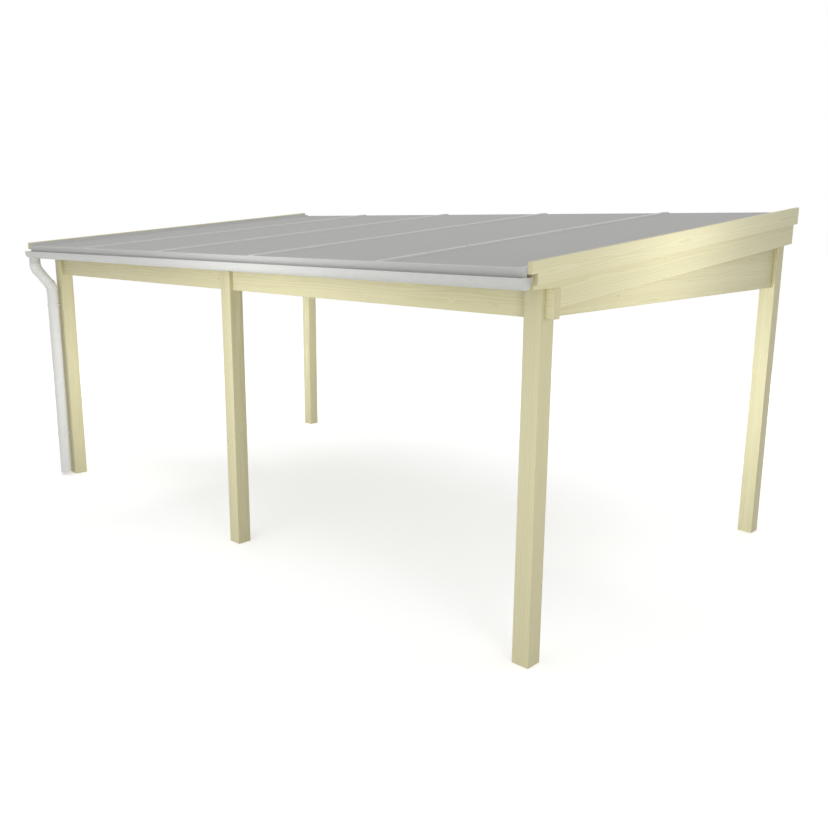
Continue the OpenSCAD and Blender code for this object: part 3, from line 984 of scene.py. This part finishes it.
@dataclass
class GlazingBars:
    """Glazing bars and edge bars with gaskets and screws, and the trims and apron at the sheets' ends."""

    plane: RoofPlane
    bars: tuple[str, ...] = tuple(
        f"glazing_bar_{rank}" for rank in ("outer_left", "inner_left", "inner_right", "outer_right")
    )
    edges: tuple[str, ...] = ("edge_bar_left", "edge_bar_right")
    edging: tuple[str, ...] = ("sheet_trims_front", "sheet_trims_back", "eaves_apron")
    fine_edge: float = 0.8 * MM
    cap_top: float = 36 * MM
    sheet_top: float = 25 * MM
    edge_cap_w: float = 36 * MM
    edge_screw: float = 21.6 * MM
    first_screw: float = 70 * MM
    screws_a_bar: int = 10
    gasket: float = 3 * MM
    gasket_end: float = 34 * MM
    gasket_round: float = 2.4 * MM
    head: ScrewHead = ScrewHead(
        flange_r=7 * MM, flange_t=1.2 * MM, head_r=4 * MM, head_h=2.6 * MM,
        socket_r=1.8 * MM, socket_d=1.4 * MM,
    )
    capped: list[Piece] = field(default_factory=list)
    edged: list[Piece] = field(default_factory=list)
    rubber: list[Piece] = field(default_factory=list)
    steel: list[Piece] = field(default_factory=list)

    def reach(self) -> tuple[float, float]:
        """Finds where the bars start and end along the slope.

        Returns:
            The two stations.
        """
        to_slope = self.plane.matrix().inverted()
        low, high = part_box(self.bars[0])
        return (to_slope @ low).y, (to_slope @ high).y

    def screws(self, name: str, x: float) -> None:
        """Drives a row of screws along a cap.

        Args:
            name: The piece's name.
            x: Where the row runs.
        """
        start, end = self.reach()
        step = (end - start - 2 * self.first_screw) / (self.screws_a_bar - 1)
        spots = [start + self.first_screw + step * count for count in range(self.screws_a_bar)]
        slope = self.plane.matrix()
        piece = self.head.drive(name, [slope @ Matrix.Translation((x, spot, self.cap_top)) for spot in spots])
        seat(piece, Slot.BAR)
        self.steel.append(piece)

    def lip(self, x: float, outward: float) -> Piece:
        """Models a lip of rubber along the foot of a cap, with its outer upper edge rounded.

        Args:
            x: Where the cap's side is.
            outward: Which way the lip faces, 1 or -1.

        Returns:
            The lip.
        """
        start, end = self.reach()
        half = self.gasket / 2
        middle = Vector((x + outward * half, (start + end) / 2, self.sheet_top + half))
        deselect()
        bpy.ops.mesh.primitive_cube_add(size=1, location=middle)
        lip = bpy.context.object
        lip.scale = (self.gasket, end - start - 2 * self.gasket_end, self.gasket)
        bpy.ops.object.transform_apply()
        pick_edges(lip, lambda *ends: all(
            (point.x - middle.x) * outward > 0 and point.z > middle.z for point in ends))
        bpy.ops.mesh.bevel(offset=self.gasket_round, segments=3, affect="EDGES")
        deselect()
        lip.data.transform(self.plane.matrix())
        return lip

    def gaskets(self, name: str, sides: dict[float, float]) -> None:
        """Lays the lips of one bar.

        Args:
            name: The piece's name.
            sides: Which way each lip faces, 1 or -1, by where the cap's side is.
        """
        piece = joined(name, [self.lip(x, outward) for x, outward in sides.items()])
        seat(piece, Slot.BAR)
        self.rubber.append(piece)

    def build(self) -> None:
        """Makes the bars and edging with fine edges, then their gaskets and screws."""
        for nodes, pieces in ((self.bars + self.edges, self.capped), (self.edging, self.edged)):
            for node in nodes:
                piece = merged_copy(node, "extruded", flatten=True)
                ease(piece, self.fine_edge, 1)
                seat(piece, Slot.BAR, node)
                pieces.append(piece)
        for node in self.bars:
            low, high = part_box(node)
            self.gaskets(f"{node}_gaskets", {low.x: -1.0, high.x: 1.0})
            self.screws(f"{node}_screws", (low.x + high.x) / 2)
        for node, outward in zip(self.edges, (-1.0, 1.0)):
            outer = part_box(node)[1 if outward > 0 else 0].x
            inner = outer - outward * self.edge_cap_w
            self.gaskets(f"{node}_gasket", {inner: -outward})
            self.screws(f"{node}_screws", outer - outward * self.edge_screw)

    def dress(self) -> None:
        """Gives the bars coated aluminium, the gaskets rubber and the screws zinc."""
        finishes = (
            (self.capped, CoatedAluminium("powder_coated_bar_aluminium", "#C9C9C7", "#C3C3C1")),
            (self.edged, CoatedAluminium("powder_coated_edging_aluminium", "#C6C6C4", "#BFBFBD")),
            (self.rubber, GreyRubber()),
            (self.steel, ZincSteel()),
        )
        for pieces, finish in finishes:
            dress(pieces, finish.material())


@dataclass
class Plumbing:
    """Pieces of the gutter or of the downpipe: copies of their solids with smooth round faces."""

    nodes: Iterable[str]
    slot: Slot
    finish: ExtrudedPvc
    pieces: list[Piece] = field(default_factory=list)

    def build(self) -> None:
        """Copies each solid and shades its round faces smooth."""
        for node in self.nodes:
            piece = merged_copy(node, "smooth", flatten=False)
            smooth(piece)
            seat(piece, self.slot, node)
            self.pieces.append(piece)

    def dress(self) -> None:
        """Gives each piece its plastic."""
        dress(self.pieces, self.finish.material())


@dataclass
class ClipScrews:
    """Screws through the feet of the pipe clips."""

    clips: tuple[str, ...] = ("pipe_clip_lower", "pipe_clip_upper")
    head: ScrewHead = ScrewHead(
        flange_r=4 * MM, flange_t=0.8 * MM, head_r=3 * MM, head_h=1.6 * MM,
        socket_r=1.4 * MM, socket_d=1.0 * MM,
    )
    foot_t: float = 3 * MM
    out: float = 17 * MM
    pieces: list[Piece] = field(default_factory=list)

    def build(self) -> None:
        """Drives two screws through each foot, into the post."""
        turn = Matrix.Rotation(pi / 2, 4, "X")
        for node in self.clips:
            low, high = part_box(node)
            middle = (low + high) / 2
            places = [
                Matrix.Translation((middle.x + side * self.out, high.y - self.foot_t, middle.z)) @ turn
                for side in (-1.0, 1.0)
            ]
            piece = self.head.drive(f"{node}_screws", places)
            seat(piece, Slot.BAR)
            self.pieces.append(piece)

    def dress(self) -> None:
        """Gives the screws zinc."""
        dress(self.pieces, ZincSteel().material())


@dataclass(frozen=True)
class Softbox:
    """Square soft lamp, which neither the camera nor a glossy surface sees."""

    name: str
    at: tuple[float, float, float]
    to: tuple[float, float, float]
    side: float
    power: float
    spread_deg: float = 180.0

    def hang(self) -> None:
        """Hangs the lamp at its place, turned to the point that it faces."""
        light = bpy.data.lights.new(self.name, "AREA")
        light.shape = "SQUARE"
        light.size = self.side
        light.energy = self.power
        light.spread = radians(self.spread_deg)
        lamp = bpy.data.objects.new(self.name, light)
        lamp.location = self.at
        lamp.visible_camera = False
        lamp.visible_glossy = False
        lamp.rotation_euler = (Vector(self.to) - Vector(self.at)).to_track_quat("-Z", "Y").to_euler()
        bpy.context.scene.collection.objects.link(lamp)


@dataclass(frozen=True)
class Studio:
    """Pale floor, soft light, white surroundings and the camera at the photograph's angle."""

    sensor_mm: float = 36.0
    lens_mm: float = 37.496
    shift: tuple[float, float] = (0.0406, -0.0074)
    pitch_deg: float = 12.155
    heading_deg: float = 44.947
    camera_x: float = 5.4424
    camera_ahead: float = 3.7996
    camera_z: float = 2.51
    camera_sees: float = 500.0
    white: str = "#FFFFFF"
    world_light: float = 0.56
    floor_side: float = 120.0
    floor_z: float = -0.5 * MM
    floor_paint: str = "#E6E6E4"
    floor_seen: str = "#F0F0F0"
    # The floor's glow rises from near to far, so that the floor fades into the surroundings
    glow_near: float = 0.38
    glow_far: float = 0.53
    near: float = 5.0
    far: float = 12.0
    # Name, place, point that it faces, side, power in watts and spread
    lamps: tuple[Softbox, ...] = (
        Softbox("overhead_softbox", (0.0, 0.0, 9.0), (0.0, 0.0, 0.0), 10.0, 220.0),
        Softbox("front_softbox", (-0.5, -10.0, 1.4), (-0.3, -1.6, 2.0), 4.0, 185.0),
        Softbox("eaves_low_softbox", (0.5, -3.2, 1.3), (0.4, -1.6, 2.15), 1.2, 3.5),
        Softbox("eaves_high_softbox", (0.7, -3.0, 2.1), (0.5, -1.5, 2.1), 1.0, 8.6),
        Softbox("corner_softbox", (6.2, -3.2, 1.8), (2.9, -1.2, 1.9), 1.6, 40.0),
        Softbox("side_softbox", (4.0, -0.12, 2.3), (2.9, -0.12, 2.4), 0.7, 7.5),
        Softbox("left_post_softbox", (-0.8, -1.0, 1.1), (-2.75, -1.43, 1.15), 1.4, 7.5, 100.0),
        Softbox("left_back_softbox", (-1.7, -0.9, 1.1), (-2.8, 1.6, 1.25), 1.4, 10.5, 90.0),
        Softbox("back_softbox", (0.5, 9.5, 3.0), (0.0, 1.7, 1.8), 4.0, 150.0),
        Softbox("left_softbox", (-9.5, 1.0, 2.6), (-2.9, 0.0, 1.8), 4.0, 120.0),
        Softbox("right_back_softbox", (2.3, -0.9, 1.1), (2.8, 1.6, 1.35), 1.4, 9.8, 90.0),
    )

    def seen(self, tree: Tree) -> Socket:
        """Adds the test for rays that see the surroundings rather than take light from them.

        Args:
            tree: The node tree.

        Returns:
            A socket that is 1 for camera, glossy and transmission rays.
        """
        rays = add(tree, "ShaderNodeLightPath").outputs
        seen = rays["Is Camera Ray"]
        for ray in ("Is Glossy Ray", "Is Transmission Ray"):
            seen = add(tree, "ShaderNodeMath", {0: seen, 1: rays[ray]}, operation="MAXIMUM").outputs[0]
        return seen

    def surroundings(self) -> None:
        """Makes a world that is seen white and lights the object softly."""
        world = bpy.data.worlds.new("white_studio")
        world.use_nodes = True
        tree = world.node_tree
        tree.nodes.clear()
        light, white = (
            add(tree, "ShaderNodeBackground", {"Color": linear(self.white), "Strength": strength}).outputs[0]
            for strength in (self.world_light, 1.0)
        )
        both = add(tree, "ShaderNodeMixShader", {0: self.seen(tree), 1: light, 2: white})
        add(tree, "ShaderNodeOutputWorld", {"Surface": both.outputs[0]})
        bpy.context.scene.world = world

    def floor(self) -> None:
        """Lays a pale floor that fades into the surroundings and keeps the object's shadow."""
        deselect()
        bpy.ops.mesh.primitive_plane_add(size=self.floor_side, location=(0, 0, self.floor_z))
        floor = bpy.context.object
        bpy.ops.object.transform_apply()
        floor.name = "studio_floor"
        material, tree = blank_material("matt_white_floor")
        paint, shaded = (
            add(tree, "ShaderNodeBsdfDiffuse", {"Color": linear(tone)}).outputs[0]
            for tone in (self.floor_paint, self.floor_seen)
        )
        place = add(tree, "ShaderNodeTexCoord").outputs["Object"]
        away = add(tree, "ShaderNodeVectorMath", {0: place}, operation="LENGTH").outputs["Value"]
        lift = add(tree, "ShaderNodeMapRange", {
            "Value": away, "From Min": self.near, "From Max": self.far,
            "To Min": self.glow_near, "To Max": self.glow_far,
        }, interpolation_type="SMOOTHSTEP").outputs[0]
        glow = add(tree, "ShaderNodeEmission", {"Color": linear(self.white), "Strength": lift}).outputs[0]
        white = add(tree, "ShaderNodeAddShader", {0: shaded, 1: glow}).outputs[0]
        both = add(tree, "ShaderNodeMixShader", {0: self.seen(tree), 1: paint, 2: white})
        add(tree, "ShaderNodeOutputMaterial", {"Surface": both.outputs[0]})
        dress([floor], material)

    def camera(self) -> None:
        """Sets the camera at the photograph's viewing angle."""
        data = bpy.data.cameras.new("photograph_view")
        data.sensor_width = self.sensor_mm
        data.lens = self.lens_mm
        data.shift_x, data.shift_y = self.shift
        data.clip_end = self.camera_sees
        camera = bpy.data.objects.new("photograph_view", data)
        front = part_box("post_front_left")[0].y
        camera.location = (self.camera_x, front - self.camera_ahead, self.camera_z)
        camera.rotation_euler = (radians(90 - self.pitch_deg), 0.0, radians(self.heading_deg))
        bpy.context.scene.collection.objects.link(camera)
        bpy.context.scene.camera = camera

    def set_up(self) -> None:
        """Puts the studio round the object."""
        self.surroundings()
        self.floor()
        for lamp in self.lamps:
            lamp.hang()
        self.camera()
        bpy.context.scene.view_settings.view_transform = "Standard"


class SubAssembly(Protocol):
    """Pieces of the veranda that are made and dressed together."""

    def build(self) -> None:
        """Makes the pieces."""

    def dress(self) -> None:
        """Gives the pieces their finish."""


def main() -> None:
    """Builds and dresses each sub-assembly, then the studio."""
    logging.basicConfig(level=logging.INFO, format="%(name)s %(message)s")
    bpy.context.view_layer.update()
    posts = [f"post_front_{side}" for side in FRONT_POSTS] + [f"post_back_{side}" for side in SIDES]
    rafters = [f"rafter_{rank}_{side}" for rank in ("outer", "inner", "edge") for side in SIDES]
    gutter = ("gutter", "gutter_cap_left", "gutter_cap_right", "gutter_straps", "gutter_outlet")
    pipe = ("elbow_upper", "offset_pipe", "elbow_lower", "downpipe", "pipe_clip_lower", "pipe_clip_upper")
    assemblies: list[SubAssembly] = [
        Timbers(posts, Run.UPRIGHT),
        Timbers(("beam_front", "beam_back"), Run.ACROSS, first_number=5),
        Timbers([f"beam_{side}" for side in SIDES], Run.BACK, first_number=7),
        Timbers(rafters, Run.UP_ROOF, first_number=9),
        Timbers([f"bargeboard_{side}" for side in SIDES], Run.UP_ROOF, lamella=BOARD, first_number=15),
        PostScrews(),
        GlazingBars(RoofPlane()),
        Plumbing(gutter, Slot.GUTTER, ExtrudedPvc("extruded_gutter_pvc", "#C8C8C6", "#BFBFBC")),
        Plumbing(pipe, Slot.PIPE, ExtrudedPvc("extruded_pipe_pvc", "#DADAD8", "#D0D0CD")),
        ClipScrews(),
    ]
    for assembly in assemblies:
        assembly.build()
        assembly.dress()
    RoofSheets().dress()
    Studio().set_up()


if __name__ == "__main__":
    main()
